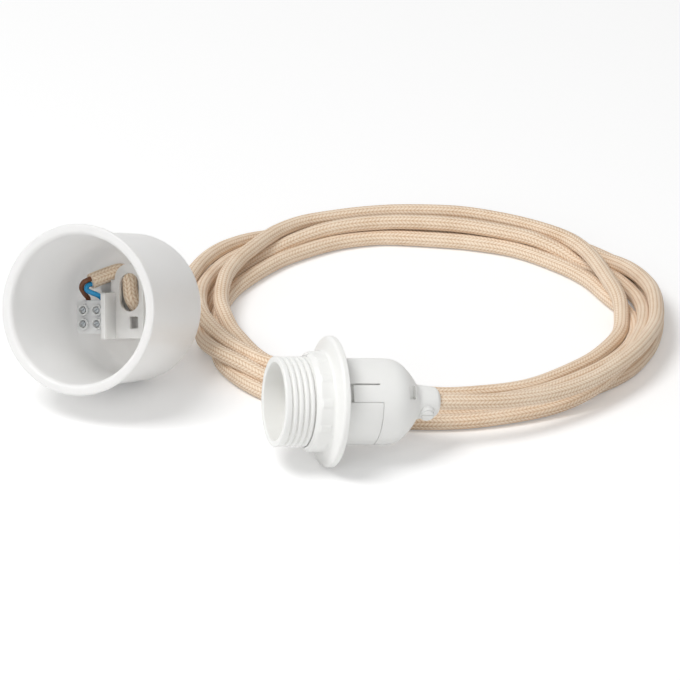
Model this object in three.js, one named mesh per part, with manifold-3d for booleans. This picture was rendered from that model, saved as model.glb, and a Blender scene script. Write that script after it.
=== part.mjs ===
// A pendant cord set lying on a table: a white lampholder with its shade ring, a long textile cord
// in loose round turns, and a ceiling cup. Millimetres, +Z up, the table at Z = 0.
// The origin lies under the middle of the lampholder and the cup.
import * as THREE from 'three';
import { mergeVertices } from 'three/addons/utils/BufferGeometryUtils.js';
import Module from 'manifold-3d';

const wasm = await Module();
wasm.setup();

// Fits
const seatGap = 0.3; // between two pieces that touch
const passGap = 0.6; // round a cord or core that passes through a hole

// Cord
const cordDiameter = 6.8;
const coreDiameter = 2.2;

// Lampholder, along its own axis: zero is the rear face of the shade ring, the mouth lies at +Z
const skirtLength = 25.6; // from the shade ring's rear face to the mouth
const threadRadius = 19.2; // crest of the outer thread
const threadPitch = 2.5;
const threadDepth = 1.1;
const skirtWall = 1.6; // below the thread's root
const mouthLand = 1.8; // plain edge before the first groove
const stopCollarRadius = 20.6;
const stopCollarThickness = 2;
const ringRadius = 27.8;
const ringFlangeThickness = 2.9;
const ringFlangeRise = 1; // how much the flange's front swells towards the collar
const ringSeatRadius = 21.6; // the rear face, where a shade lies, is cut back inside this
const ringSeatRelief = 0.3;
const ringCollarWall = 1.9; // over the thread's crest
const ringLength = 12.4;
const ringRibCount = 12;
const ringRibWidth = 3.2;
const ringRibHeight = 0.35;
const capRadius = 18.4;
const capWall = 1.8;
const capBarrelEnd = 23; // where the straight part ends and the dome starts
const domeFillet = 9;
const domeAngle = 50; // degrees between the dome's cone and the axis
const neckRootRadius = 7.4;
const neckEndRadius = 5.9;
const capLength = 47.2; // from the shade ring's rear face to the neck's end
const neckLength = 10.6;
const panelLength = 15; // skirt panel that is let into the cap
const panelSpan = 80; // degrees
const panelTop = -1.3; // degrees from the side that faces up and forward
const latchAngle = 23.4; // degrees, the slit beside the latch tongue
const latchLength = 13.6;
const latchSlit = 0.8;
const latchSetback = 1.7;
const pryPocketWidth = 5.6;
const pryPocketLength = 4.6;
const gripScrewAngle = -42; // degrees
const gripScrewOffset = 6.8; // from the neck's end
const gripScrewHeadRadius = 2.6;
const gripScrewHeadHeight = 1.5;
const gripScrewShankRadius = 1.9;
const gripBossRadius = 3.5;
const gripBossReach = 8.7; // from the axis

// Contact insert
const insertSleeveLength = 16.5; // in front of its foot
const insertWall = 1.6;
const insertFootThickness = 1.8;
const insertFloor = 2;
const insertCupDepth = 5;
const lampThreadRadius = 13.45;
const lampThreadDepth = 1.1;
const lampThreadPitch = 3.63;
const terminalHousingWidth = 20;
const terminalHousingDepth = 12;
const terminalHousingLength = 11;
const clampWidth = 5;
const clampDepth = 6;
const clampLength = 7;
const clampSpacing = 10.4;
const contactThickness = 0.5;
const contactWidth = 5;
const screwRadius = 1.3;
const screwHeadRadius = 2.1;

// Ceiling cup, along its own axis: zero is the outside of its base, the mouth lies at +Z
const cupHeight = 60;
const cupBaseRadius = 32;
const cupBodyRadius = 33.6; // just under the rim
const cupWall = 1.6;
const cupFloor = 1.8;
const cupCornerRadius = 8.5;
const cupRimRadius = 36.7;
const cupRimThickness = 2.2;

// Cord bracket inside the cup
const bracketFoot = 1.8;
const bracketWall = 2;
const bracketHalfWidth = 6.4;
const bracketTopZ = 12.6; // front of the bridge, from the cup's base
const bracketLow = -13.5;
const bracketHigh = 12; // centre of the bridge's round end
const bracketRound = 7;
const windowWidth = 9.4;
const windowLength = 16.6;
const windowX = 0.4;
const windowY = 6.6;
const cheekTopZ = 22.4;
const cheekHigh = 6.4;

// Terminal block
const blockWidth = 13.4;
const blockLength = 14.4;
const blockHeight = 8.4;
const blockY = -4;
const turretRadius = 2.5;
const turretHeight = 1.6;
const barrelRadius = 1.9;
const barrelPitch = 6.6;
const blockScrewPitch = 6;

// Loose turns of the cord
const coilCentre = new THREE.Vector2(86.9, 96);
const coilInner = 82;
const coilOuter = 105;
const coilHeight = 13.6;
const coilCorner = 3;

// Where the two ends lie: the foot of each axis, its turn about Z, its tilt and its roll, in degrees
const holderPlace = new THREE.Vector3(47.5, -41.7, 27.6);
const holderTurn = 195.4;
const holderTilt = 7.3;
const holderRoll = 24.6;
const cupPlace = new THREE.Vector3(-35.1, 54.3, 27.4);
const cupTurn = 242.2;
const cupTilt = 21;
const cupRoll = 11.4;

// Uncoiled stretches of the cord, chosen by hand in the part's own frame. Each one first runs
// straight along the axis of the piece that it leaves.
const leadOutStraight = 17;
const leadOutRoute = [
  [119, -18.5, 17.4],
  [128.9, -11.5, 14.8],
  [137.9, -3.7, 12.2],
  [145, 4.5, 10],
];
const leadInStraight = 21;
const leadInRoute = [
  [-24.3, 77.4, 16.7],
  [-22.6, 84.6, 13.2],
  [-21.4, 91.7, 9.8],
];

// Colours
const whitePlastic = { color: 0xf1f0ec, roughness: 0.42, metalness: 0 };
const insertPlastic = { color: 0xe9e7e0, roughness: 0.5, metalness: 0 };
const clearPlastic = { color: 0xe4e8e8, roughness: 0.25, metalness: 0 };
const textile = { color: 0xdcbc98, roughness: 0.9, metalness: 0 };
const brass = { color: 0xc8a24c, roughness: 0.3, metalness: 1 };
const steel = { color: 0xa9adb0, roughness: 0.3, metalness: 1 };
const brownPvc = { color: 0x6b3f23, roughness: 0.45, metalness: 0 };
const bluePvc = { color: 0x2f9fd6, roughness: 0.45, metalness: 0 };

const roundSteps = 40;
const threadSteps = 28;
const smallSteps = 10;
const cordSides = 10;
const coreSides = 6;

const degrees = THREE.MathUtils.degToRad;

// A closed solid from a geometry whose faces may point either way round.
function solid(geometry) {
  const bare = geometry.clone();
  bare.deleteAttribute('normal');
  bare.deleteAttribute('uv');
  const merged = mergeVertices(bare, 1e-4);
  const index = dropThinTriangles(Array.from(merged.index.array));
  const points = merged.attributes.position.array;
  if (signedVolume(points, index) < 0) {
    for (let i = 0; i < index.length; i += 3) {
      [index[i], index[i + 1]] = [index[i + 1], index[i]];
    }
  }
  const mesh = new wasm.Mesh({
    numProp: 3,
    vertProperties: new Float32Array(points),
    triVerts: new Uint32Array(index),
  });
  return new wasm.Manifold(mesh);
}

// Triangles that lost a side when vertices on the axis were merged are left out.
function dropThinTriangles(index) {
  const kept = [];
  for (let i = 0; i < index.length; i += 3) {
    const [a, b, c] = index.slice(i, i + 3);
    if (a !== b && b !== c && c !== a) {
      kept.push(a, b, c);
    }
  }
  return kept;
}

function signedVolume(points, index) {
  const a = new THREE.Vector3();
  const b = new THREE.Vector3();
  const c = new THREE.Vector3();
  let volume = 0;
  for (let i = 0; i < index.length; i += 3) {
    a.fromArray(points, index[i] * 3);
    b.fromArray(points, index[i + 1] * 3);
    c.fromArray(points, index[i + 2] * 3);
    volume += a.dot(b.cross(c)) / 6;
  }
  return volume;
}

function toGeometry(shape) {
  const mesh = shape.getMesh();
  const geometry = new THREE.BufferGeometry();
  geometry.setAttribute('position', new THREE.BufferAttribute(new Float32Array(mesh.vertProperties), 3));
  geometry.setIndex(new THREE.BufferAttribute(new Uint32Array(mesh.triVerts), 1));
  geometry.computeVertexNormals();
  return geometry;
}

// A profile of [radius, z] pairs turned about Z, closed on itself where it doesn't meet the axis.
function turned(profile, steps = roundSteps) {
  const points = profile.map(([r, z]) => new THREE.Vector2(r, z));
  const onAxis = profile[0][0] === 0 && profile.at(-1)[0] === 0;
  if (!onAxis) {
    points.push(points[0].clone());
  }
  const geometry = new THREE.LatheGeometry(points, steps);
  geometry.rotateX(Math.PI / 2);
  return solid(geometry);
}

// A plain tube or disc between two radii and two heights.
function ringSolid(inner, outer, low, high, steps = roundSteps) {
  return turned([[inner, low], [outer, low], [outer, high], [inner, high]], steps);
}

// Points of an arc in the profile plane, from one angle to the other, in degrees.
function arc(r, z, radius, from, to, count = 5) {
  const points = [];
  for (let i = 0; i <= count; i += 1) {
    const angle = degrees(from + ((to - from) * i) / count);
    points.push([r + radius * Math.cos(angle), z + radius * Math.sin(angle)]);
  }
  return points;
}

// An outline carried straight up along Z.
function carried(shape, low, high, curveSegments = 8) {
  const geometry = new THREE.ExtrudeGeometry(shape, { depth: high - low, bevelEnabled: false, curveSegments });
  geometry.translate(0, 0, low);
  return solid(geometry);
}

function boxShape(x0, y0, x1, y1) {
  const shape = new THREE.Shape();
  shape.moveTo(x0, y0);
  shape.lineTo(x1, y0);
  shape.lineTo(x1, y1);
  shape.lineTo(x0, y1);
  shape.closePath();
  return shape;
}

function roundedShape(x0, y0, x1, y1, radius) {
  const shape = new THREE.Shape();
  shape.moveTo(x0 + radius, y0);
  shape.lineTo(x1 - radius, y0);
  shape.absarc(x1 - radius, y0 + radius, radius, -Math.PI / 2, 0, false);
  shape.lineTo(x1, y1 - radius);
  shape.absarc(x1 - radius, y1 - radius, radius, 0, Math.PI / 2, false);
  shape.lineTo(x0 + radius, y1);
  shape.absarc(x0 + radius, y1 - radius, radius, Math.PI / 2, Math.PI, false);
  shape.lineTo(x0, y0 + radius);
  shape.absarc(x0 + radius, y0 + radius, radius, Math.PI, Math.PI * 1.5, false);
  return shape;
}

// A stadium outline that stands along Y.
function slotShape(x, y, width, length) {
  const radius = width / 2;
  const reach = length / 2 - radius;
  const shape = new THREE.Shape();
  shape.moveTo(x + radius, y - reach);
  shape.lineTo(x + radius, y + reach);
  shape.absarc(x, y + reach, radius, 0, Math.PI, false);
  shape.lineTo(x - radius, y - reach);
  shape.absarc(x, y - reach, radius, Math.PI, Math.PI * 2, false);
  return shape;
}

function box(x0, y0, z0, x1, y1, z1) {
  return carried(boxShape(x0, y0, x1, y1), z0, z1);
}

// A pie slice about Z that reaches past every piece, between two angles in degrees.
function slice(from, to, low, high) {
  const reach = ringRadius * 2;
  const shape = new THREE.Shape();
  const steps = 6;
  shape.moveTo(0, 0);
  for (let i = 0; i <= steps; i += 1) {
    const angle = degrees(from + ((to - from) * i) / steps);
    shape.lineTo(reach * Math.cos(angle), reach * Math.sin(angle));
  }
  shape.closePath();
  return carried(shape, low, high);
}

// A screw-shaped rod: the section climbs one pitch in each turn, with sharp roots and flat crests.
function threadRod({ root, crest, pitch, low, high, steps }) {
  const perPitch = 3;
  const turns = Math.ceil((high - low) / pitch) + 3;
  const last = perPitch * turns;
  const rises = [0, 0.4, 0.65];
  const radii = [root, crest, crest];
  const positions = [];
  const start = (Math.floor(low / pitch) - 2) * pitch;
  for (let i = 0; i < steps; i += 1) {
    const angle = (i / steps) * Math.PI * 2;
    for (let j = 0; j <= last; j += 1) {
      const radius = radii[j % perPitch];
      const z = start + pitch * (Math.floor(j / perPitch) + rises[j % perPitch] + i / steps);
      positions.push(radius * Math.cos(angle), radius * Math.sin(angle), z);
    }
  }
  const at = (i, j) => (i === steps ? j + perPitch : i * (last + 1) + j);
  const index = [];
  for (let i = 0; i < steps; i += 1) {
    const top = i === steps - 1 ? last - perPitch : last;
    for (let j = 0; j < top; j += 1) {
      index.push(at(i, j), at(i + 1, j), at(i + 1, j + 1), at(i, j), at(i + 1, j + 1), at(i, j + 1));
    }
  }
  const lowLoop = [];
  const highLoop = [];
  for (let i = 0; i <= steps; i += 1) {
    lowLoop.push(at(i, 0));
  }
  for (let j = perPitch - 1; j >= 1; j -= 1) {
    lowLoop.push(j);
  }
  for (let i = 0; i < steps; i += 1) {
    highLoop.push(at(i, last));
  }
  for (let j = last - 1; j >= last - perPitch; j -= 1) {
    highLoop.push(at(steps - 1, j));
  }
  const lowPoint = positions.length / 3;
  positions.push(0, 0, start - pitch);
  const highPoint = lowPoint + 1;
  positions.push(0, 0, start + pitch * (turns + 3));
  lowLoop.forEach((a, i) => index.push(lowPoint, lowLoop[(i + 1) % lowLoop.length], a));
  highLoop.forEach((a, i) => index.push(highPoint, a, highLoop[(i + 1) % highLoop.length]));
  const geometry = new THREE.BufferGeometry();
  geometry.setAttribute('position', new THREE.Float32BufferAttribute(positions, 3));
  geometry.setIndex(index);
  return solid(geometry).intersect(ringSolid0(crest + threadDepth, low, high));
}

// A plain disc from the axis out.
function ringSolid0(radius, low, high, steps = roundSteps) {
  return turned([[0, low], [radius, low], [radius, high], [0, high]], steps);
}

// A round rod whose axis leaves the Z axis at an angle in degrees, between two distances from it.
function radialRod(radius, from, to, angle, z, steps = smallSteps) {
  return ringSolid0(radius, from, to, steps).rotate([0, 90, 0]).translate([0, 0, z]).rotate([0, 0, angle]);
}

// A round tube along points, with flat ends.
function tubeAlong(points, diameter, sides, steps) {
  const shape = new THREE.Shape();
  for (let i = 0; i < sides; i += 1) {
    const angle = (i / sides) * Math.PI * 2;
    const point = new THREE.Vector2(Math.cos(angle), Math.sin(angle)).multiplyScalar(diameter / 2);
    if (i === 0) {
      shape.moveTo(point.x, point.y);
    } else {
      shape.lineTo(point.x, point.y);
    }
  }
  shape.closePath();
  const path = new THREE.CatmullRomCurve3(points.map((p) => new THREE.Vector3(...p)));
  return solid(new THREE.ExtrudeGeometry(shape, { extrudePath: path, steps, bevelEnabled: false }));
}

function part(name, shape, finish) {
  const mesh = new THREE.Mesh(toGeometry(shape), new THREE.MeshStandardMaterial(finish));
  mesh.name = name;
  return mesh;
}

function axisOf(turn, tilt) {
  const t = degrees(turn);
  const e = degrees(tilt);
  return new THREE.Vector3(Math.cos(e) * Math.cos(t), Math.cos(e) * Math.sin(t), Math.sin(e));
}

// Points a group's +Z along a turn and a tilt, then rolls it about that axis. Angles in degrees.
function aimed(group, place, turn, tilt, roll) {
  const axis = axisOf(turn, tilt);
  const side = new THREE.Vector3(-Math.sin(degrees(turn)), Math.cos(degrees(turn)), 0);
  const up = new THREE.Vector3().crossVectors(axis, side);
  group.quaternion.setFromRotationMatrix(new THREE.Matrix4().makeBasis(side, up, axis));
  group.rotateZ(degrees(roll));
  group.position.copy(place);
  return group;
}

const threadRoot = threadRadius - threadDepth;
const skirtBore = threadRoot - skirtWall;
const capBore = capRadius - capWall;
const spigotRadius = capBore - seatGap;
const spigotBore = spigotRadius - 1.4;
const stopFront = -seatGap;
const stopRear = stopFront - stopCollarThickness;
const panelEnd = stopRear - panelLength;
const capFront = stopRear - seatGap;
const cordBore = cordDiameter / 2 + seatGap;

// Both sides of the lampholder carry the same panels and latches.
const bothSides = [0, 180];

function panelSlices(grow) {
  const extra = THREE.MathUtils.radToDeg(grow / capRadius);
  const slices = bothSides.map((side) =>
    slice(side + panelTop - panelSpan - extra, side + panelTop + extra, panelEnd - grow, stopRear + 1));
  return slices[0].add(slices[1]);
}

function holderSkirt() {
  const thread = threadRod({
    root: threadRoot,
    crest: threadRadius,
    pitch: threadPitch,
    low: stopFront,
    high: skirtLength - mouthLand / 2,
    steps: threadSteps,
  });
  const edge = 0.6;
  const land = turned([
    [0, skirtLength - mouthLand],
    [threadRadius, skirtLength - mouthLand],
    ...arc(threadRadius - edge, skirtLength - edge, edge, 0, 90, 3),
    [0, skirtLength],
  ]);
  const collar = ringSolid0(stopCollarRadius, stopRear, stopFront + 0.01);
  const spigot = ringSolid0(spigotRadius, stopRear - 6, stopFront);
  const panels = ringSolid(capBore + 0.1, capRadius, panelEnd, stopFront).intersect(panelSlices(0).add(
    ringSolid0(capRadius + 1, stopRear, stopFront)));
  const bore = ringSolid0(skirtBore, stopRear + insertFootThickness - 1, skirtLength + 1);
  const ledgeBore = ringSolid0(spigotBore, panelEnd, skirtLength);
  const body = thread.add(land).add(collar).add(spigot);
  return body.subtract(bore).subtract(ledgeBore).add(panels);
}

function shadeRing() {
  const collarRadius = threadRadius + ringCollarWall;
  const rimRound = 1.1;
  const footRound = 1.4;
  const front = ringFlangeThickness + ringFlangeRise;
  const profile = [
    [0, ringSeatRelief],
    [ringSeatRadius - ringSeatRelief, ringSeatRelief],
    [ringSeatRadius, 0],
    [ringRadius - 0.4, 0],
    [ringRadius, 0.4],
    ...arc(ringRadius - rimRound, ringFlangeThickness - rimRound, rimRound, 0, 80, 4),
    [collarRadius + footRound + 1, front - 0.15],
    [collarRadius + footRound * 0.3, front + footRound * 0.3],
    [collarRadius, front + footRound],
    [collarRadius, ringLength - 1.7],
    [threadRadius + 0.7, ringLength],
    [0, ringLength],
  ];
  let body = turned(profile);
  const ribInset = 0.5;
  for (let i = 0; i < ringRibCount; i += 1) {
    const low = front + footRound + 0.4;
    const high = ringLength - 1.9;
    const rib = box(
      collarRadius - ribInset, -ringRibWidth / 2, low, collarRadius + ringRibHeight, ringRibWidth / 2, high);
    body = body.add(rib.rotate([0, 0, 27 + (i * 360) / ringRibCount]));
  }
  const thread = threadRod({
    root: threadRoot + seatGap,
    crest: threadRadius + seatGap,
    pitch: threadPitch,
    low: -1,
    high: ringLength + 1,
    steps: threadSteps,
  });
  const notch = box(threadRoot, -1.3, ringLength - 1.3, collarRadius - 0.4, 1.3, ringLength + 1);
  return body.subtract(thread).subtract(notch.rotate([0, 0, 80]));
}

function capProfile() {
  const fillet = arc(capRadius - domeFillet, 0, domeFillet, 0, domeAngle, 5);
  const outer = [[capRadius, capFront]];
  fillet.forEach(([r, z]) => outer.push([r, -capBarrelEnd - z]));
  const neckRoot = -capLength + neckLength;
  const slope = Math.tan(degrees(domeAngle));
  const [endRadius, endZ] = outer.at(-1);
  const shoulderRadius = endRadius - (endZ - neckRoot) * slope;
  outer.push([shoulderRadius, neckRoot]);
  outer.push([neckRootRadius, neckRoot - 0.9]);
  outer.push([neckEndRadius + 0.3, -capLength + 1.2]);
  outer.push([neckEndRadius - 0.5, -capLength + 0.3]);
  outer.push([neckEndRadius - 1.2, -capLength]);
  const inner = [[cordBore, -capLength]];
  inner.push([cordBore, neckRoot + 1]);
  inner.push([endRadius - capWall * 1.3, endZ + capWall * 0.7]);
  inner.push([capBore, -capBarrelEnd + 1]);
  inner.push([capBore, capFront]);
  return [...outer, ...inner];
}

const gripScrewZ = -capLength + gripScrewOffset;

function holderCap() {
  let body = turned(capProfile());
  const boss = radialRod(gripBossRadius, cordBore, gripBossReach, gripScrewAngle, gripScrewZ, 16);
  const bossBore = radialRod(gripScrewShankRadius + seatGap, 0, gripBossReach + 1, gripScrewAngle, gripScrewZ);
  const headSeat = gripBossReach - gripScrewHeadHeight;
  const headBore = radialRod(
    gripScrewHeadRadius + seatGap, headSeat, gripBossReach + 1, gripScrewAngle, gripScrewZ, 16);
  body = body.add(boss).subtract(bossBore).subtract(headBore);
  const window = ringSolid(capBore - 1, capRadius + 1, panelEnd - seatGap, stopRear + 1);
  body = body.subtract(window.intersect(panelSlices(seatGap)));
  const slitHigh = capFront + 1;
  for (const side of bothSides) {
    const slit = box(capBore - 1, -latchSlit / 2, capFront - latchLength, capRadius + 1, latchSlit / 2, slitHigh);
    body = body.subtract(slit.rotate([0, 0, side + latchAngle]));
    const setback = ringSolid(capBore - 1, capRadius + 1, capFront - latchSetback, slitHigh);
    body = body.subtract(setback.intersect(slice(side + panelTop - 1, side + latchAngle, capFront - 9, slitHigh)));
    const pocketZ = -capBarrelEnd - domeFillet * Math.sin(degrees(domeAngle)) - 1;
    const low = 0.9;
    const pocket = box(7, low, pocketZ - pryPocketLength / 2, capRadius, low + pryPocketWidth,
      pocketZ + pryPocketLength / 2);
    body = body.subtract(pocket.rotate([0, 0, side]));
  }
  return body;
}

function gripScrew() {
  const headSeat = gripBossReach - gripScrewHeadHeight + seatGap;
  const tip = cordDiameter / 2 + seatGap;
  const top = gripBossReach + 0.2;
  const shank = radialRod(gripScrewShankRadius, tip, headSeat + 0.1, gripScrewAngle, gripScrewZ);
  const head = radialRod(gripScrewHeadRadius, headSeat, top, gripScrewAngle, gripScrewZ, 16);
  const slot = box(top - 0.8, -3, -0.4, top + 1, 3, 0.4).rotate([20, 0, 0]).translate([0, 0, gripScrewZ]);
  return shank.add(head).subtract(slot.rotate([0, 0, gripScrewAngle]));
}

const insertSeat = stopRear + insertFootThickness - 1 + seatGap; // rear face of the insert's foot
const insertCupRadius = spigotBore - seatGap;
const insertFloorTop = insertSeat - insertCupDepth;
const insertFloorRear = insertFloorTop - insertFloor;

function lampThread() {
  return threadRod({
    root: lampThreadRadius - lampThreadDepth,
    crest: lampThreadRadius,
    pitch: lampThreadPitch,
    low: insertFloorTop + 3,
    high: insertSeat + insertSleeveLength + 2,
    steps: threadSteps,
  });
}

function contactInsert() {
  const sleeveRadius = lampThreadRadius + insertWall;
  const footTop = insertSeat + insertFootThickness;
  const front = insertSeat + insertSleeveLength;
  let body = turned([
    [0, insertFloorRear],
    [insertCupRadius, insertFloorRear],
    [insertCupRadius, insertSeat],
    [skirtBore - seatGap, insertSeat],
    [skirtBore - seatGap, footTop],
    [sleeveRadius, footTop],
    [sleeveRadius, front],
    [0, front],
  ]);
  const halfWidth = terminalHousingWidth / 2;
  const halfDepth = terminalHousingDepth / 2;
  const rear = insertFloorRear - terminalHousingLength;
  body = body.add(box(-halfWidth, -halfDepth, rear, halfWidth, halfDepth, insertFloorRear + 0.1));
  body = body.subtract(ringSolid0(lampThreadRadius - lampThreadDepth, insertFloorTop, front + 1, threadSteps));
  body = body.subtract(lampThread());
  for (const side of [-1, 1]) {
    const x = (side * clampSpacing) / 2;
    const wide = clampWidth / 2 + seatGap;
    const deep = clampDepth / 2 + seatGap;
    body = body.subtract(box(x - wide, -deep, rear - 1, x + wide, deep, rear + clampLength + 2 * seatGap));
    body = body.subtract(box(x - screwHeadRadius - seatGap, 0, rear + 1.2, x + screwHeadRadius + seatGap,
      halfDepth + 1, rear + 1.2 + 2 * (screwHeadRadius + seatGap)));
    const slotX = side * (clampSpacing / 2 - clampWidth / 2) * 0.98;
    body = body.subtract(box(slotX - 0.6, -contactWidth / 2 - seatGap, rear + clampLength,
      slotX + 0.6, contactWidth / 2 + seatGap, insertFloorTop + 1));
  }
  return body;
}

const clampRear = insertFloorRear - terminalHousingLength + seatGap;

// A brass block with a wire hole along the axis and a screw hole from the side.
function terminalClamp(side) {
  const x = (side * clampSpacing) / 2;
  const block = box(x - clampWidth / 2, -clampDepth / 2, clampRear, x + clampWidth / 2, clampDepth / 2,
    clampRear + clampLength);
  const wireHole = ringSolid0(coreDiameter / 2 + seatGap, clampRear - 1, clampRear + clampLength - 1.5, smallSteps)
    .translate([x, 0, 0]);
  const screwHole = ringSolid0(screwRadius + seatGap, 0, clampDepth, smallSteps).rotate([-90, 0, 0])
    .translate([x, 0, clampRear + 3.2]);
  return block.subtract(wireHole).subtract(screwHole);
}

function terminalScrew(side) {
  const x = (side * clampSpacing) / 2;
  const head = clampDepth / 2 + seatGap;
  const tip = coreDiameter / 2 + seatGap;
  const shank = ringSolid0(screwRadius, tip, head + 0.1, smallSteps);
  const cap = ringSolid0(screwHeadRadius, head, head + 1.6, smallSteps);
  const slot = box(-3, -0.35, head + 1, 3, 0.35, head + 3);
  return shank.add(cap).subtract(slot).rotate([-90, 0, 0]).translate([x, 0, clampRear + 3.2]);
}

// A bent brass strip: its outline lies in the XZ plane and is carried across Y.
function strip(outline, width) {
  const shape = new THREE.Shape(outline.map(([x, z]) => new THREE.Vector2(x, z)));
  return carried(shape, -width / 2, width / 2).rotate([90, 0, 0]);
}

function centreContact() {
  const t = contactThickness;
  const x = -(clampSpacing / 2 - clampWidth / 2) * 0.98;
  const floor = insertFloorTop + seatGap;
  const low = clampRear + clampLength + seatGap;
  return strip([
    [x - t / 2, low],
    [x + t / 2, low],
    [x + t / 2, floor],
    [x + 6.5, floor + 2.2],
    [x + 6.5, floor + 2.2 + t],
    [x - t / 2, floor + t * 1.4],
  ], contactWidth);
}

function sideContact() {
  const t = contactThickness;
  const x = (clampSpacing / 2 - clampWidth / 2) * 0.98;
  const reach = lampThreadRadius - lampThreadDepth - 1.2;
  const floor = insertFloorTop + seatGap;
  const low = clampRear + clampLength + seatGap;
  return strip([
    [x - t / 2, low],
    [x + t / 2, low],
    [x + t / 2, floor],
    [reach, floor],
    [reach - 0.6, floor + 5.2],
    [reach - 1.1, floor + 5.2],
    [reach - t - 0.2, floor + t],
    [x - t / 2, floor + t],
  ], contactWidth);
}

const cordEndZ = -capLength + 16.5; // the jacket's cut end inside the cap

function holderCore(side) {
  const x = (side * clampSpacing) / 2;
  return tubeAlong([
    [side * 1.4, 0, cordEndZ + seatGap],
    [side * 1.4, 0, cordEndZ + 1.6],
    [side * 2.2, 0, cordEndZ + 3.8],
    [x * 0.86, 0, cordEndZ + 6.4],
    [x, 0, clampRear - 1.2],
    [x, 0, clampRear + 2],
  ], coreDiameter, coreSides, 10);
}

function lampholder() {
  const group = new THREE.Group();
  group.add(part('holder_skirt', holderSkirt(), whitePlastic));
  group.add(part('shade_ring', shadeRing(), whitePlastic));
  group.add(part('holder_cap', holderCap(), whitePlastic));
  group.add(part('cord_grip_screw', gripScrew(), whitePlastic));
  group.add(part('contact_insert', contactInsert(), insertPlastic));
  group.add(part('centre_contact', centreContact(), brass));
  group.add(part('side_contact', sideContact(), brass));
  group.add(part('terminal_clamp_brown', terminalClamp(-1), brass));
  group.add(part('terminal_clamp_blue', terminalClamp(1), brass));
  group.add(part('terminal_screw_brown', terminalScrew(-1), steel));
  group.add(part('terminal_screw_blue', terminalScrew(1), steel));
  group.add(part('holder_core_brown', holderCore(-1), brownPvc));
  group.add(part('holder_core_blue', holderCore(1), bluePvc));
  return aimed(group, holderPlace, holderTurn, holderTilt, holderRoll);
}

const cupHole = cordDiameter / 2 + passGap;

function ceilingCup() {
  const rimLow = cupHeight - cupRimThickness;
  const outer = [
    [cupHole, 0],
    ...arc(cupBaseRadius - cupCornerRadius, cupCornerRadius, cupCornerRadius, -90, 0),
    [cupBodyRadius, rimLow],
    [cupRimRadius - 0.4, rimLow],
    [cupRimRadius, rimLow + 0.5],
    [cupRimRadius, cupHeight - 0.4],
    [cupRimRadius - 0.4, cupHeight],
  ];
  const innerTop = cupBodyRadius - cupWall;
  const innerCorner = cupCornerRadius - cupFloor + 0.4;
  const innerBase = cupBaseRadius - cupWall;
  const inner = [
    [innerTop + 1.2, cupHeight],
    [innerTop + 0.35, cupHeight - 0.45],
    [innerTop, cupHeight - 1.4],
    ...arc(innerBase - innerCorner, cupFloor + innerCorner, innerCorner, 0, -90),
    [cupHole, cupFloor],
  ];
  return turned([...outer, ...inner]);
}

const bracketZ = cupFloor + seatGap;
const bracketLeft = -bracketHalfWidth;
const bracketRight = bracketHalfWidth + 2 * windowX;
const shelfZ = 9.6;
const footLeft = -18;
const blockZ = shelfZ + seatGap;
const blockX = bracketLeft - seatGap - blockWidth / 2 - bracketWall;

function cordBracket() {
  const archShape = (inset) => {
    const shape = new THREE.Shape();
    const radius = bracketRound - inset;
    shape.moveTo(bracketLeft, bracketLow);
    shape.lineTo(bracketRight, bracketLow);
    shape.lineTo(bracketRight, bracketHigh);
    shape.absarc(windowX, bracketHigh, radius, 0, Math.PI, false);
    shape.lineTo(bracketLeft, bracketHigh);
    shape.closePath();
    return shape;
  };
  const footShape = roundedShape(footLeft, bracketLow, bracketRight + 3, bracketHigh + 3, 2);
  let body = carried(footShape, bracketZ, bracketZ + bracketFoot);
  body = body.add(carried(archShape(0), bracketTopZ - bracketWall, bracketTopZ));
  const inside = bracketZ + bracketFoot - 0.1;
  const cheekLeft = bracketLeft - bracketWall;
  body = body.add(box(cheekLeft, bracketLow, inside, bracketLeft + 0.1, cheekHigh, cheekTopZ));
  body = body.add(box(cheekLeft, cheekHigh - 0.1, inside, bracketLeft + 0.1, bracketHigh, bracketTopZ));
  body = body.add(box(bracketRight - bracketWall, bracketLow, inside, bracketRight, bracketHigh, bracketTopZ - 0.1));
  const shelfLow = blockY - blockLength / 2;
  const shelfHigh = blockY + blockLength / 2;
  body = body.add(box(blockX - blockWidth / 2, shelfLow, shelfZ - bracketWall, cheekLeft + 0.1, shelfHigh, shelfZ));
  body = body.add(box(blockX - 1, shelfLow + 2, inside, blockX + 1, shelfHigh - 2, shelfZ - bracketWall + 0.1));
  body = body.subtract(carried(slotShape(windowX, windowY, windowWidth, windowLength), bracketTopZ - 3,
    bracketTopZ + 1));
  body = body.subtract(box(0.4, -9.2, bracketTopZ - 3, 4.6, -4, bracketTopZ + 1));
  return body.subtract(ringSolid0(cupHole + 0.6, 0, inside + 1, 24));
}

// The two ways of the block lie side by side, each with a barrel along Y and two screws from the front.
const ways = [-1, 1].map((side) => blockX + (side * barrelPitch) / 2);
const screwSpots = [-1, 1].map((side) => blockY + (side * blockScrewPitch) / 2);
const barrelZ = blockZ + blockHeight * 0.46;

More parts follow.
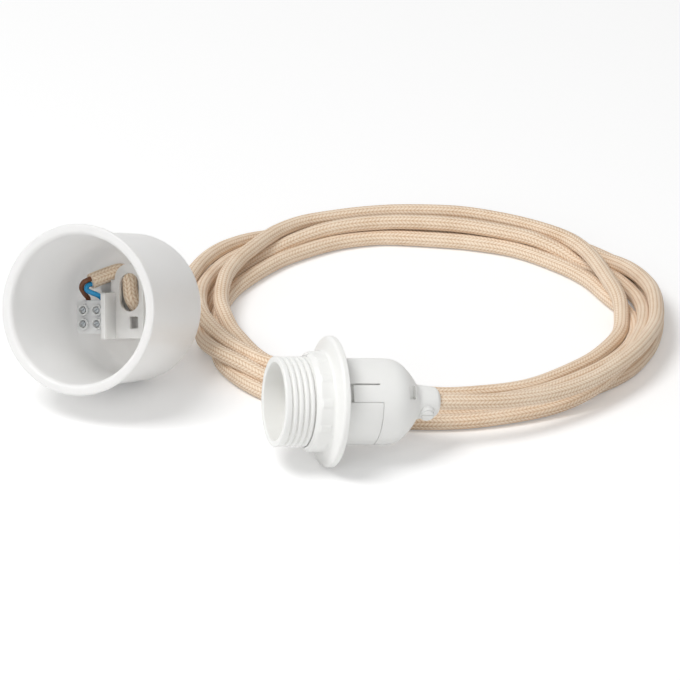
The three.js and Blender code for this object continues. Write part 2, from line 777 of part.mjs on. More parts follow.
function terminalBlock() {
  const low = blockY - blockLength / 2;
  const high = blockY + blockLength / 2;
  let body = carried(roundedShape(blockX - blockWidth / 2, low, blockX + blockWidth / 2, high, 1.2), blockZ,
    blockZ + blockHeight);
  for (const x of ways) {
    for (const y of screwSpots) {
      const turret = ringSolid0(turretRadius, blockZ + 1, blockZ + blockHeight + turretHeight, smallSteps);
      body = body.add(turret.translate([x, y, 0]));
    }
  }
  for (const x of ways) {
    const tunnel = ringSolid0(barrelRadius + seatGap, low - 1, high + 1, smallSteps).rotate([-90, 0, 0]);
    body = body.subtract(tunnel.translate([x, 0, barrelZ]));
    for (const y of screwSpots) {
      const bore = ringSolid0(screwRadius + 0.5, barrelZ, blockZ + blockHeight + turretHeight + 1, smallSteps);
      body = body.subtract(bore.translate([x, y, 0]));
    }
  }
  return body;
}

function blockBarrel(x) {
  const half = blockLength / 2 - 1;
  const rod = ringSolid0(barrelRadius, blockY - half, blockY + half, smallSteps);
  const bore = ringSolid0(coreDiameter / 2 + 0.25, blockY - half - 1, blockY + half + 1, smallSteps);
  let barrel = rod.subtract(bore).rotate([-90, 0, 0]).translate([x, 0, barrelZ]);
  for (const y of screwSpots) {
    barrel = barrel.subtract(ringSolid0(screwRadius - 0.1 + seatGap, barrelZ, barrelZ + 4, smallSteps)
      .translate([x, y, 0]));
  }
  return barrel;
}

function blockScrew(x, y) {
  const top = blockZ + blockHeight + turretHeight - 0.6;
  const low = barrelZ + coreDiameter / 2 + seatGap;
  const shank = ringSolid0(screwRadius - 0.1, low, top, smallSteps);
  const slot = box(-2, -0.3, top - 0.7, 2, 0.3, top + 1).rotate([0, 0, 35]);
  return shank.subtract(slot).translate([x, y, 0]);
}

// The cord's end inside the cup: up through the bracket's window, over its edge and to the block.
const tailRoute = [
  [0, 0, 1.3],
  [0, 0, 3],
  [0.1, 0.6, 5.2],
  [0.4, 2.2, 8],
  [0.5, 5.4, 11.2],
  [0.4, 9, 14],
  [-1.8, 12.4, 16.8],
  [-5.8, 13.8, 19.2],
  [-10.4, 12.9, 21],
  [-14.2, 10.2, 22],
  [-16.4, 8, 22.4],
];

function cordTail() {
  return tubeAlong(tailRoute, cordDiameter, cordSides, 16);
}

// One core, from the cord's cut end into its barrel. It starts to one side of the cord's centre.
function cupCore(x, side) {
  const tail = new THREE.CatmullRomCurve3(tailRoute.map((p) => new THREE.Vector3(...p)));
  const end = tail.getPoint(1);
  const ahead = tail.getTangent(1);
  const across = new THREE.Vector3(-0.5, 0.6, 0.9);
  across.addScaledVector(ahead, -across.dot(ahead)).setLength(side * 1.3);
  const start = end.clone().add(across).addScaledVector(ahead, seatGap);
  const straight = start.clone().addScaledVector(ahead, 1.6);
  const edge = blockY + blockLength / 2;
  return tubeAlong([
    start.toArray(),
    straight.toArray(),
    [straight.x - side * 1.2, straight.y - 1.8, straight.z - 2.4],
    [(straight.x + x) / 2, edge + 2.6, barrelZ + 2.8],
    [x, edge + 1.2, barrelZ + 0.4],
    [x, edge - 1.4, barrelZ],
    [x, edge - 4.2, barrelZ],
  ], coreDiameter, coreSides, 14);
}

function cup() {
  const group = new THREE.Group();
  group.add(part('ceiling_cup', ceilingCup(), whitePlastic));
  group.add(part('cord_bracket', cordBracket(), whitePlastic));
  group.add(part('terminal_block', terminalBlock(), clearPlastic));
  group.add(part('block_barrel_brown', blockBarrel(ways[0]), brass));
  group.add(part('block_barrel_blue', blockBarrel(ways[1]), brass));
  ['brown', 'blue'].forEach((name, way) => {
    group.add(part(`block_screw_${name}_cord`, blockScrew(ways[way], screwSpots[1]), steel));
    group.add(part(`block_screw_${name}_mains`, blockScrew(ways[way], screwSpots[0]), steel));
  });
  group.add(part('cord_tail', cordTail(), textile));
  group.add(part('cup_core_brown', cupCore(ways[0], 1), brownPvc));
  group.add(part('cup_core_blue', cupCore(ways[1], -1), bluePvc));
  return aimed(group, cupPlace, cupTurn, cupTilt, cupRoll);
}

// The turns as one plain ring that holds them.
function cordCoil() {
  const c = coilCorner;
  const ring = turned([
    ...arc(coilInner + c, c, c, 180, 270, 2),
    ...arc(coilOuter - c, c, c, 270, 360, 2),
    ...arc(coilOuter - c, coilHeight - c, c, 0, 90, 2),
    ...arc(coilInner + c, coilHeight - c, c, 90, 180, 2),
  ]);
  return ring.translate([coilCentre.x, coilCentre.y, 0]);
}

// Points at distances behind a piece's foot, along its axis.
function behind(place, turn, tilt, distances) {
  const axis = axisOf(turn, tilt);
  return distances.map((d) => place.clone().addScaledVector(axis, -d).toArray());
}

function leadOut() {
  const distances = [-cordEndZ, capLength - 6, capLength + 4, capLength + leadOutStraight];
  const route = [...behind(holderPlace, holderTurn, holderTilt, distances), ...leadOutRoute];
  return tubeAlong(route, cordDiameter, cordSides, 10);
}

function leadIn() {
  const distances = [seatGap - tailRoute[0][2], 7, leadInStraight];
  const route = [...behind(cupPlace, cupTurn, cupTilt, distances), ...leadInRoute];
  return tubeAlong(route, cordDiameter, cordSides, 7);
}

const set = new THREE.Group();
set.name = 'pendant_cord_set';
set.add(lampholder());
set.add(cup());
set.add(part('cord_coil', cordCoil(), textile));
set.add(part('cord_lead_out', leadOut(), textile));
set.add(part('cord_lead_in', leadIn(), textile));

export default set;
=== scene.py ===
import math
import bpy
import numpy as np
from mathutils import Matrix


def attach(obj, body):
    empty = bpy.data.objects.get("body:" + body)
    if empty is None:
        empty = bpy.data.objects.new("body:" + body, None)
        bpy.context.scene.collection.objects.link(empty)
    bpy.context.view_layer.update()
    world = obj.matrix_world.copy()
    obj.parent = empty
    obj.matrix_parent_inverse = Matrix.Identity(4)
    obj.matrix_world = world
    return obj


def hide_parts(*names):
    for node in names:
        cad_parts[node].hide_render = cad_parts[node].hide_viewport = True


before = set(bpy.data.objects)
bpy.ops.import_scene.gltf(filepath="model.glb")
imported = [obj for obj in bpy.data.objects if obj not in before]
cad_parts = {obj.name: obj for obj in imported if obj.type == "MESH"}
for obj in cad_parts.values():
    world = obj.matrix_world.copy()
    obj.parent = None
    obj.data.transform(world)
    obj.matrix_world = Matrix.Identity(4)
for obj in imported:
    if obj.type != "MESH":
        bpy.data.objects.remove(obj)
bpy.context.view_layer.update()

print("frame loaded")

# The camera stands where the photograph was taken: about 3.2 m away, 25 degrees above the table.
camera = {
    "target": (0.0509, 0.079, 0.0),
    "distance": 3.2,
    "elevation": 25.0,
    "lens": 386.26,
}


def makeCamera():
    data = bpy.data.cameras.new("camera")
    data.lens = camera["lens"]
    data.sensor_width = 36
    data.clip_end = 20
    seen = bpy.data.objects.new("camera", data)
    tilt = math.radians(camera["elevation"])
    x, y, z = camera["target"]
    seen.location = (x, y - camera["distance"] * math.cos(tilt), z + camera["distance"] * math.sin(tilt))
    seen.rotation_euler = (math.radians(90) - tilt, 0, 0)
    bpy.context.collection.objects.link(seen)
    bpy.context.scene.camera = seen


makeCamera()


# Materials

def toLinear(colour):
    # sRGB hex to linear: each channel is raised by the sRGB curve
    parts = [int(colour[i:i + 2], 16) / 255 for i in (1, 3, 5)]
    return tuple(c / 12.92 if c <= 0.04045 else ((c + 0.055) / 1.055) ** 2.4 for c in parts) + (1.0,)


def addNode(tree, kind, values=None, links=None):
    # Adds a node; number keys and socket names set inputs, other keys set its own settings.
    node = tree.nodes.new(kind)
    for key, value in (values or {}).items():
        if isinstance(key, int) or key in node.inputs:
            node.inputs[key].default_value = value
        else:
            setattr(node, key, value)
    for key, socket in (links or {}).items():
        tree.links.new(socket, node.inputs[key])
    return node


def emptyMaterial(name):
    material = bpy.data.materials.new(name)
    material.use_nodes = True
    material.node_tree.nodes.clear()
    return material, material.node_tree


def mouldedPlastic(name, look):
    # Injection moulded plastic: nearly even colour with a faint cloudiness, and a fine spark-eroded
    # grain in its gloss and relief. Grain and cloud sizes are in millimetres. The glow is light that
    # goes in and comes out again, and the spread is how far that reaches, in metres.
    material, tree = emptyMaterial(name)
    place = addNode(tree, "ShaderNodeTexCoord").outputs["Object"]
    cloud = addNode(tree, "ShaderNodeTexNoise", {"Scale": 1000 / look["cloud"], "Detail": 3.0},
                    {"Vector": place})
    grain = addNode(tree, "ShaderNodeTexNoise", {"Scale": 1000 / look["grain"], "Detail": 2.0},
                    {"Vector": place})
    colour = addNode(tree, "ShaderNodeMix", {"data_type": "RGBA", 6: toLinear(look["dark"]),
                                             7: toLinear(look["light"])}, {0: cloud.outputs[0]})
    gloss = addNode(tree, "ShaderNodeMapRange", {1: 0.3, 2: 0.7, 3: look["rough"] - 0.05,
                                                 4: look["rough"] + 0.05}, {0: grain.outputs[0]})
    relief = addNode(tree, "ShaderNodeBump", {"Strength": look["relief"], "Distance": 0.00004},
                     {"Height": grain.outputs[0]})
    shader = addNode(tree, "ShaderNodeBsdfPrincipled",
                     {"IOR": 1.5, "Subsurface Weight": look.get("glow", 0.0),
                      "Subsurface Scale": look.get("spread", 0.0012), "Subsurface Radius": (1, 1, 1)},
                     {"Base Color": colour.outputs[2], "Roughness": gloss.outputs[0],
                      "Normal": relief.outputs[0]})
    addNode(tree, "ShaderNodeOutputMaterial", {}, {"Surface": shader.outputs[0]})
    return material


def turnedMetal(name, look):
    # Turned or stamped metal: fine scratches stretched along one way over a bright surface.
    material, tree = emptyMaterial(name)
    place = addNode(tree, "ShaderNodeTexCoord").outputs["Object"]
    spread = addNode(tree, "ShaderNodeMapping", {"Scale": (1, 1, 0.12)}, {"Vector": place})
    lines = addNode(tree, "ShaderNodeTexNoise", {"Scale": 1000 / look["grain"], "Detail": 4.0},
                    {"Vector": spread.outputs[0]})
    colour = addNode(tree, "ShaderNodeMix", {"data_type": "RGBA", 6: toLinear(look["dark"]),
                                             7: toLinear(look["light"])}, {0: lines.outputs[0]})
    gloss = addNode(tree, "ShaderNodeMapRange", {1: 0.3, 2: 0.7, 3: look["rough"] - 0.08,
                                                 4: look["rough"] + 0.1}, {0: lines.outputs[0]})
    relief = addNode(tree, "ShaderNodeBump", {"Strength": 0.3, "Distance": 0.00003},
                     {"Height": lines.outputs[0]})
    shader = addNode(tree, "ShaderNodeBsdfPrincipled", {"Metallic": 1.0},
                     {"Base Color": colour.outputs[2], "Roughness": gloss.outputs[0],
                      "Normal": relief.outputs[0]})
    addNode(tree, "ShaderNodeOutputMaterial", {}, {"Surface": shader.outputs[0]})
    return material


braid = {
    "columns": 12,                  # columns of yarn round the cord
    "pitch": 1.78,                  # mm along the cord for one crossing, the same as round it
    "fibre": 0.5,                   # mm, size of the loose fibres
    "patch": 14,                    # mm, size of the slow changes in tone
    "relief": 0.0003,               # m, depth of the relief
    # place from the deepest (0) to the highest (1), and colour; the deepest colour is painted shade in the
    # weave's hollows
    "shade": (0.02, "#866040"),
    "dark": (0.4, "#d3ae88"),
    "light": (0.9, "#fbe9d3"),
}


def braidedTextile(name, look):
    # Diamond braid of cotton yarn over two cores. The UV map gives the place round the cord (0 to 1)
    # and the millimetres along it, which are counted here in columns and crossings. The yarn in a
    # column slants, one way in odd columns and the other way in even ones: its phase is the crossings
    # plus or minus the distance from the column's middle. The columns run along the cord as fine ribs.
    material, tree = emptyMaterial(name)
    uv = addNode(tree, "ShaderNodeSeparateXYZ", {}, {0: addNode(tree, "ShaderNodeUVMap").outputs[0]})

    place = addNode(tree, "ShaderNodeTexCoord").outputs["Object"]
    fuzz = addNode(tree, "ShaderNodeTexNoise", {"Scale": 1000 / look["fibre"], "Detail": 3.0},
                   {"Vector": place})
    patch = addNode(tree, "ShaderNodeTexNoise", {"Scale": 1000 / look["patch"], "Detail": 2.0},
                    {"Vector": place})
    sockets = {"round": uv.outputs[0], "along": uv.outputs[1],
               "fuzz": fuzz.outputs[0], "patch": patch.outputs[0]}
    # Each step names its result, what it does, and its two inputs: numbers or earlier results.
    steps = [
        ("columns", "MULTIPLY", "round", float(look["columns"])),
        ("crossings", "MULTIPLY", "along", 1.0 / look["pitch"]),
        ("column", "FRACT", "columns", 0.0),
        # odd columns lean one way and even ones the other
        ("half", "MULTIPLY", "columns", 0.5),
        ("pair", "FRACT", "half", 0.0),
        ("odd", "GREATER_THAN", "pair", 0.5),
        ("twoOdd", "MULTIPLY", "odd", 2.0),
        ("slant", "SUBTRACT", "twoOdd", 1.0),
        ("across", "SUBTRACT", "column", 0.5),
        ("lean", "MULTIPLY", "slant", "across"),
        ("phase", "ADD", "crossings", "lean"),
        # a yarn is the height of half a sine over one crossing
        ("yarnTurn", "MULTIPLY", "phase", math.pi),
        ("yarnWave", "SINE", "yarnTurn", 0.0),
        ("yarn", "ABSOLUTE", "yarnWave", 0.0),
        ("yarnFull", "POWER", "yarn", 0.6),
        ("yarnPart", "MULTIPLY", "yarnFull", 0.6),
        ("yarnHeight", "ADD", "yarnPart", 0.4),
        # a column is the height of half a sine over its width
        ("ribTurn", "MULTIPLY", "column", math.pi),
        ("rib", "SINE", "ribTurn", 0.0),
        ("ribFull", "POWER", "rib", 0.5),
        ("ribPart", "MULTIPLY", "ribFull", 0.7),
        ("ribHeight", "ADD", "ribPart", 0.3),
        # three plies show in each yarn
        ("plyTurn", "MULTIPLY", "phase", math.pi * 3),
        ("plyWave", "SINE", "plyTurn", 0.0),
        ("ply", "ABSOLUTE", "plyWave", 0.0),
        ("plyHeight", "MULTIPLY", "ply", 0.1),
        ("cross", "MULTIPLY", "ribHeight", "yarnHeight"),
        ("height", "ADD", "cross", "plyHeight"),
        # loose fibres roughen it
        ("fuzzMiddle", "SUBTRACT", "fuzz", 0.5),
        ("fuzzPart", "MULTIPLY", "fuzzMiddle", 0.5),
        ("depth", "ADD", "height", "fuzzPart"),
        ("depthPart", "MULTIPLY", "depth", 0.75),
        ("patchPart", "MULTIPLY", "patch", 0.3),
        ("shadeAndTone", "ADD", "depthPart", "patchPart"),
    ]
    for result, operation, *inputs in steps:
        values = {n: v for n, v in enumerate(inputs) if not isinstance(v, str)}
        links = {n: sockets[v] for n, v in enumerate(inputs) if isinstance(v, str)}
        step = addNode(tree, "ShaderNodeMath", {"operation": operation, **values}, links)
        sockets[result] = step.outputs[0]
    # The colour follows the weave's depth and the random patches: darker into the hollows as painted shade,
    # paler on the crowns.
    ramp = addNode(tree, "ShaderNodeValToRGB", {}, {0: sockets["shadeAndTone"]})
    stops = ramp.color_ramp.elements
    for stop, (level, colour) in ((stops[0], look["shade"]), (stops[1], look["light"])):
        stop.position = level
        stop.color = toLinear(colour)
    middle = stops.new(look["dark"][0])
    middle.color = toLinear(look["dark"][1])
    relief = addNode(tree, "ShaderNodeBump", {"Strength": 0.8, "Distance": look["relief"]},
                     {"Height": sockets["depth"]})
    shader = addNode(tree, "ShaderNodeBsdfPrincipled",
                     {"Roughness": 0.9, "Sheen Weight": 0.2, "Sheen Roughness": 0.5,
                      "Specular IOR Level": 0.2},
                     {"Base Color": ramp.outputs[0], "Normal": relief.outputs[0]})
    addNode(tree, "ShaderNodeOutputMaterial", {}, {"Surface": shader.outputs[0]})
    return material


# White polypropylene of the lampholder: cool, satin, with a fine moulded grain.
holderPlastic = mouldedPlastic("satinWhitePolypropylene", {
    "light": "#f6f6f4", "dark": "#f2f2ef", "cloud": 9.0, "grain": 0.35, "rough": 0.42, "relief": 0.25,
    "glow": 0.35})
# The cup's polypropylene is a touch warmer and smoother, and its thin wall lets light through.
cupPlastic = mouldedPlastic("smoothWhitePolypropylene", {
    "light": "#f7f6f4", "dark": "#f3f2ef", "cloud": 20.0, "grain": 0.5, "rough": 0.36, "relief": 0.15,
    "glow": 0.8, "spread": 0.012})
# Heat-proof filled plastic of the contact insert: duller and a little yellow.
insertPlastic = mouldedPlastic("filledHeatproofPlastic", {
    "light": "#ebe9e2", "dark": "#e0ddd4", "cloud": 4.0, "grain": 0.25, "rough": 0.55, "relief": 0.5})
# Soft PVC of the two cores.
brownPvc = mouldedPlastic("brownPvcCore", {
    "light": "#7a4a2a", "dark": "#5e381f", "cloud": 2.0, "grain": 0.2, "rough": 0.42, "relief": 0.2})
bluePvc = mouldedPlastic("bluePvcCore", {
    "light": "#2fa5dc", "dark": "#1f86bd", "cloud": 2.0, "grain": 0.2, "rough": 0.42, "relief": 0.2})
# Turned and stamped brass of contacts, clamps and barrels.
brass = turnedMetal("turnedBrass", {"light": "#d9b865", "dark": "#b98f3f", "grain": 0.2, "rough": 0.3})
# Zinc-plated steel of the screws.
steel = turnedMetal("zincPlatedSteel", {"light": "#c2c6c9", "dark": "#979c9f", "grain": 0.15, "rough": 0.32})
# Unbleached cotton of the cord's jacket.
cottonBraid = braidedTextile("cottonBraid", braid)


def clearPolyamide(name):
    # Natural polyamide of the terminal block: milky, lets some light through, softly glossy.
    material, tree = emptyMaterial(name)
    place = addNode(tree, "ShaderNodeTexCoord").outputs["Object"]
    milk = addNode(tree, "ShaderNodeTexNoise", {"Scale": 1000 / 3, "Detail": 3.0}, {"Vector": place})
    colour = addNode(tree, "ShaderNodeMix", {"data_type": "RGBA", 6: toLinear("#eef1f2"),
                                             7: toLinear("#fafbfb")}, {0: milk.outputs[0]})
    relief = addNode(tree, "ShaderNodeBump", {"Strength": 0.2, "Distance": 0.00004},
                     {"Height": milk.outputs[0]})
    shader = addNode(tree, "ShaderNodeBsdfPrincipled",
                     {"Roughness": 0.3, "IOR": 1.5, "Transmission Weight": 0.08, "Subsurface Weight": 0.8,
                      "Subsurface Scale": 0.006, "Subsurface Radius": (1, 1, 1)},
                     {"Base Color": colour.outputs[2], "Normal": relief.outputs[0]})
    addNode(tree, "ShaderNodeOutputMaterial", {}, {"Surface": shader.outputs[0]})
    return material


milkyPolyamide = clearPolyamide("milkyPolyamide")
print("materials made")


# Mesh helpers. Shapes are worked out in millimetres and stored in metres.

def closedGrid(columns, rows):
    # Quads of a grid that closes on itself both ways: columns go round, rows along the profile.
    i, j = np.meshgrid(np.arange(columns), np.arange(rows), indexing="ij")
    a = i * rows + j
    b = (i + 1) % columns * rows + j
    c = (i + 1) % columns * rows + (j + 1) % rows
    d = i * rows + (j + 1) % rows
    return np.stack([a, b, c, d], axis=-1).reshape(-1, 4)


def signedVolume(points, faces):
    # The sum of the volumes of the pyramids from the origin to each face, by its two triangles.
    a, b, c, d = (points[faces[:, k]] for k in range(4))
    first = np.einsum("ij,ij->i", a, np.cross(b, c))
    second = np.einsum("ij,ij->i", a, np.cross(c, d))
    return (first + second).sum() / 6


def makePiece(name, shells, material, sharp=None):
    # Puts one or more closed shells of quads into one mesh, each turned to face out.
    points, faces, start = [], [], 0
    for shellPoints, shellFaces in shells:
        if signedVolume(shellPoints, shellFaces) < 0:
            shellFaces = shellFaces[:, ::-1]
        points.append(shellPoints)
        faces.append(shellFaces + start)
        start += len(shellPoints)
    points = np.vstack(points) / 1000
    faces = np.vstack(faces)
    mesh = bpy.data.meshes.new(name)
    mesh.vertices.add(len(points))
    mesh.vertices.foreach_set("co", points.astype(np.float32).ravel())
    mesh.loops.add(faces.size)
    mesh.loops.foreach_set("vertex_index", faces.astype(np.int32).ravel())
    mesh.polygons.add(len(faces))
    mesh.polygons.foreach_set("loop_start", np.arange(0, faces.size, 4, dtype=np.int32))
    mesh.polygons.foreach_set("use_smooth", np.full(len(faces), True))
    mesh.update(calc_edges=True)
    mesh.validate()
    if sharp is not None:
        mesh.set_sharp_from_angle(angle=math.radians(sharp))
    piece = bpy.data.objects.new(name, mesh)
    bpy.context.collection.objects.link(piece)
    if material is not None:
        mesh.materials.append(material)
    return piece


def roundedProfile(corners, steps, longest):
    # Corners are (radius, height, rounding). Each corner becomes a curve between two points set
    # back from it: (1-t)^2 A + 2t(1-t) B + t^2 C. Long sides are then filled with more points.
    rows = np.array(corners, float)
    here = rows[:, :2]
    back = np.roll(here, 1, axis=0) - here
    ahead = np.roll(here, -1, axis=0) - here
    backLength = np.linalg.norm(back, axis=1)
    aheadLength = np.linalg.norm(ahead, axis=1)
    reach = np.minimum(rows[:, 2], 0.49 * np.minimum(backLength, aheadLength))
    first = here + back * (reach / backLength)[:, None]
    last = here + ahead * (reach / aheadLength)[:, None]
    t = np.linspace(0, 1, steps + 1)[None, :, None]
    curve = (1 - t) ** 2 * first[:, None] + 2 * t * (1 - t) * here[:, None] + t ** 2 * last[:, None]
    profile = curve.reshape(-1, 2)
    loop = np.vstack([profile, profile[:1]])
    along = np.concatenate([[0], np.cumsum(np.linalg.norm(np.diff(loop, axis=0), axis=1))])
    counts = np.maximum(np.ceil(np.diff(along) / longest).astype(int), 1)
    marks = np.concatenate([np.linspace(along[k], along[k + 1], counts[k], endpoint=False)
                            for k in range(len(counts))])
    return np.stack([np.interp(marks, along, loop[:, 0]), np.interp(marks, along, loop[:, 1])], axis=1)


def turned(profile, columns, change=None):
    # A closed profile turned about Z: x = r cos a, y = r sin a. change(r, z, a) may move the radius.
    angle = np.linspace(0, 2 * math.pi, columns, endpoint=False)[:, None]
    radius = np.broadcast_to(profile[None, :, 0], (columns, len(profile))).copy()
    height = np.broadcast_to(profile[None, :, 1], radius.shape)
    if change is not None:
        radius = change(radius, height, np.broadcast_to(angle, radius.shape))
    points = np.stack([radius * np.cos(angle), radius * np.sin(angle), height], axis=-1).reshape(-1, 3)
    return points, closedGrid(columns, len(profile))


def roundedBlock(low, high, rounding, cells=(1, 1, 1)):
    # A box whose points are pulled in to an inner box and pushed out again by the rounding radius,
    # so that edges and corners are round. cells gives how many spans its flat sides have.
    low, high = np.array(low, float), np.array(high, float)
    rounding = min(rounding, 0.49 * (high - low).min())
    lines = []
    for k in range(3):
        bend = rounding * (1 - np.cos(np.linspace(0, math.pi / 2, 4)[:-1]))
        flat = np.linspace(low[k] + rounding, high[k] - rounding, cells[k] + 1)
        lines.append(np.concatenate([low[k] + bend, flat, (high[k] - bend)[::-1]]))
    points, faces, start = [], [], 0
    for k in range(3):
        u, v = [n for n in range(3) if n != k]
        gu, gv = np.meshgrid(lines[u], lines[v], indexing="ij")
        for level in (low[k], high[k]):
            side = np.empty(gu.shape + (3,))
            side[..., u], side[..., v], side[..., k] = gu, gv, level
            i, j = np.meshgrid(np.arange(gu.shape[0] - 1), np.arange(gu.shape[1] - 1), indexing="ij")
            a = i * gu.shape[1] + j
            quad = np.stack([a, a + gu.shape[1], a + gu.shape[1] + 1, a + 1], axis=-1).reshape(-1, 4)
            if (level == low[k]) == (k != 1):
                quad = quad[:, ::-1]
            points.append(side.reshape(-1, 3))
            faces.append(quad + start)
            start += side.size // 3
    points, faces = np.vstack(points), np.vstack(faces)
    unique, back = np.unique(np.round(points, 5), axis=0, return_inverse=True)
    faces = back.reshape(-1)[faces]
    core = np.clip(unique, low + rounding, high - rounding)
    away = unique - core
    size = np.linalg.norm(away, axis=1, keepdims=True)
    return core + away / np.maximum(size, 1e-9) * np.where(size > 1e-9, rounding, 0), faces


def bent(block):
    # A block of (degrees, radius, height) bent round the axis.
    points, faces = block
    angle = np.radians(points[:, 0])
    return np.stack([points[:, 1] * np.cos(angle), points[:, 1] * np.sin(angle), points[:, 2]], axis=1), faces


def bentPlate(fromAngle, toAngle, inner, outer, low, high, rounding, cells):
    # The block's first side is measured as an arc at the outer radius, then turned into degrees.
    perDegree = math.radians(1) * outer
    points, faces = roundedBlock((fromAngle * perDegree, inner, low), (toAngle * perDegree, outer, high),
                                 rounding, (cells, 1, 4))
    points[:, 0] /= perDegree
    return bent((points, faces))


def aimedAxes(place):
    # Rows are the piece's own X, Y and Z in the part's frame: Z along the turn and tilt, then rolled.
    turn, tilt, roll = np.radians([place["turn"], place["tilt"], place["roll"]])
    axis = np.array([math.cos(tilt) * math.cos(turn), math.cos(tilt) * math.sin(turn), math.sin(tilt)])
    side = np.array([-math.sin(turn), math.cos(turn), 0])
    up = np.cross(axis, side)
    return np.stack([side * math.cos(roll) + up * math.sin(roll),
                     up * math.cos(roll) - side * math.sin(roll), axis])


def placed(shell, place):
    # Moves a shell from its piece's own axes to its place in the part's frame.
    points, faces = shell
    return points @ aimedAxes(place) + np.array(place["foot"]), faces


def radial(shell, angle, height):
    # Turns a shell made about Z so that its axis leaves the piece's axis at an angle in degrees.
    points, faces = shell
    a = math.radians(angle)
    out = np.array([math.cos(a), math.sin(a), 0])
    across = np.array([-math.sin(a), math.cos(a), 0])
    up = np.array([0, 0, 1.0])
    return points[:, :1] * -up + points[:, 1:2] * across + points[:, 2:] * out + up * height, faces


def cut(piece, cutters):
    # Takes the cutters out of the piece one by one, each Boolean applied at once.
    for cutter in cutters:
        change = piece.modifiers.new("cut", "BOOLEAN")
        change.operation = "DIFFERENCE"
        change.solver = "EXACT"
        change.object = cutter
        baked = bpy.data.meshes.new_from_object(
            piece.evaluated_get(bpy.context.evaluated_depsgraph_get()))
        piece.modifiers.clear()
        old = piece.data
        piece.data = baked
        bpy.data.meshes.remove(old)
        bpy.data.objects.remove(cutter)
    piece.data.set_sharp_from_angle(angle=math.radians(32))


def showAs(piece, slot, *nodes):
    # Every piece lies still on the root body. The nodes named are those that it replaces.
    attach(piece, "root")
    if nodes:
        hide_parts(*nodes)


# Where the lampholder and the cup lie: the foot in millimetres, the angles in degrees. The neck is
# how far behind the foot the lampholder's neck ends.
holderPlace = {"foot": (47.5, -41.7, 27.6), "turn": 195.4, "tilt": 7.3, "roll": 24.6, "neck": 47.2}
cupPlace = {"foot": (-35.1, 54.3, 27.4), "turn": 242.2, "tilt": 21.0, "roll": 11.4}


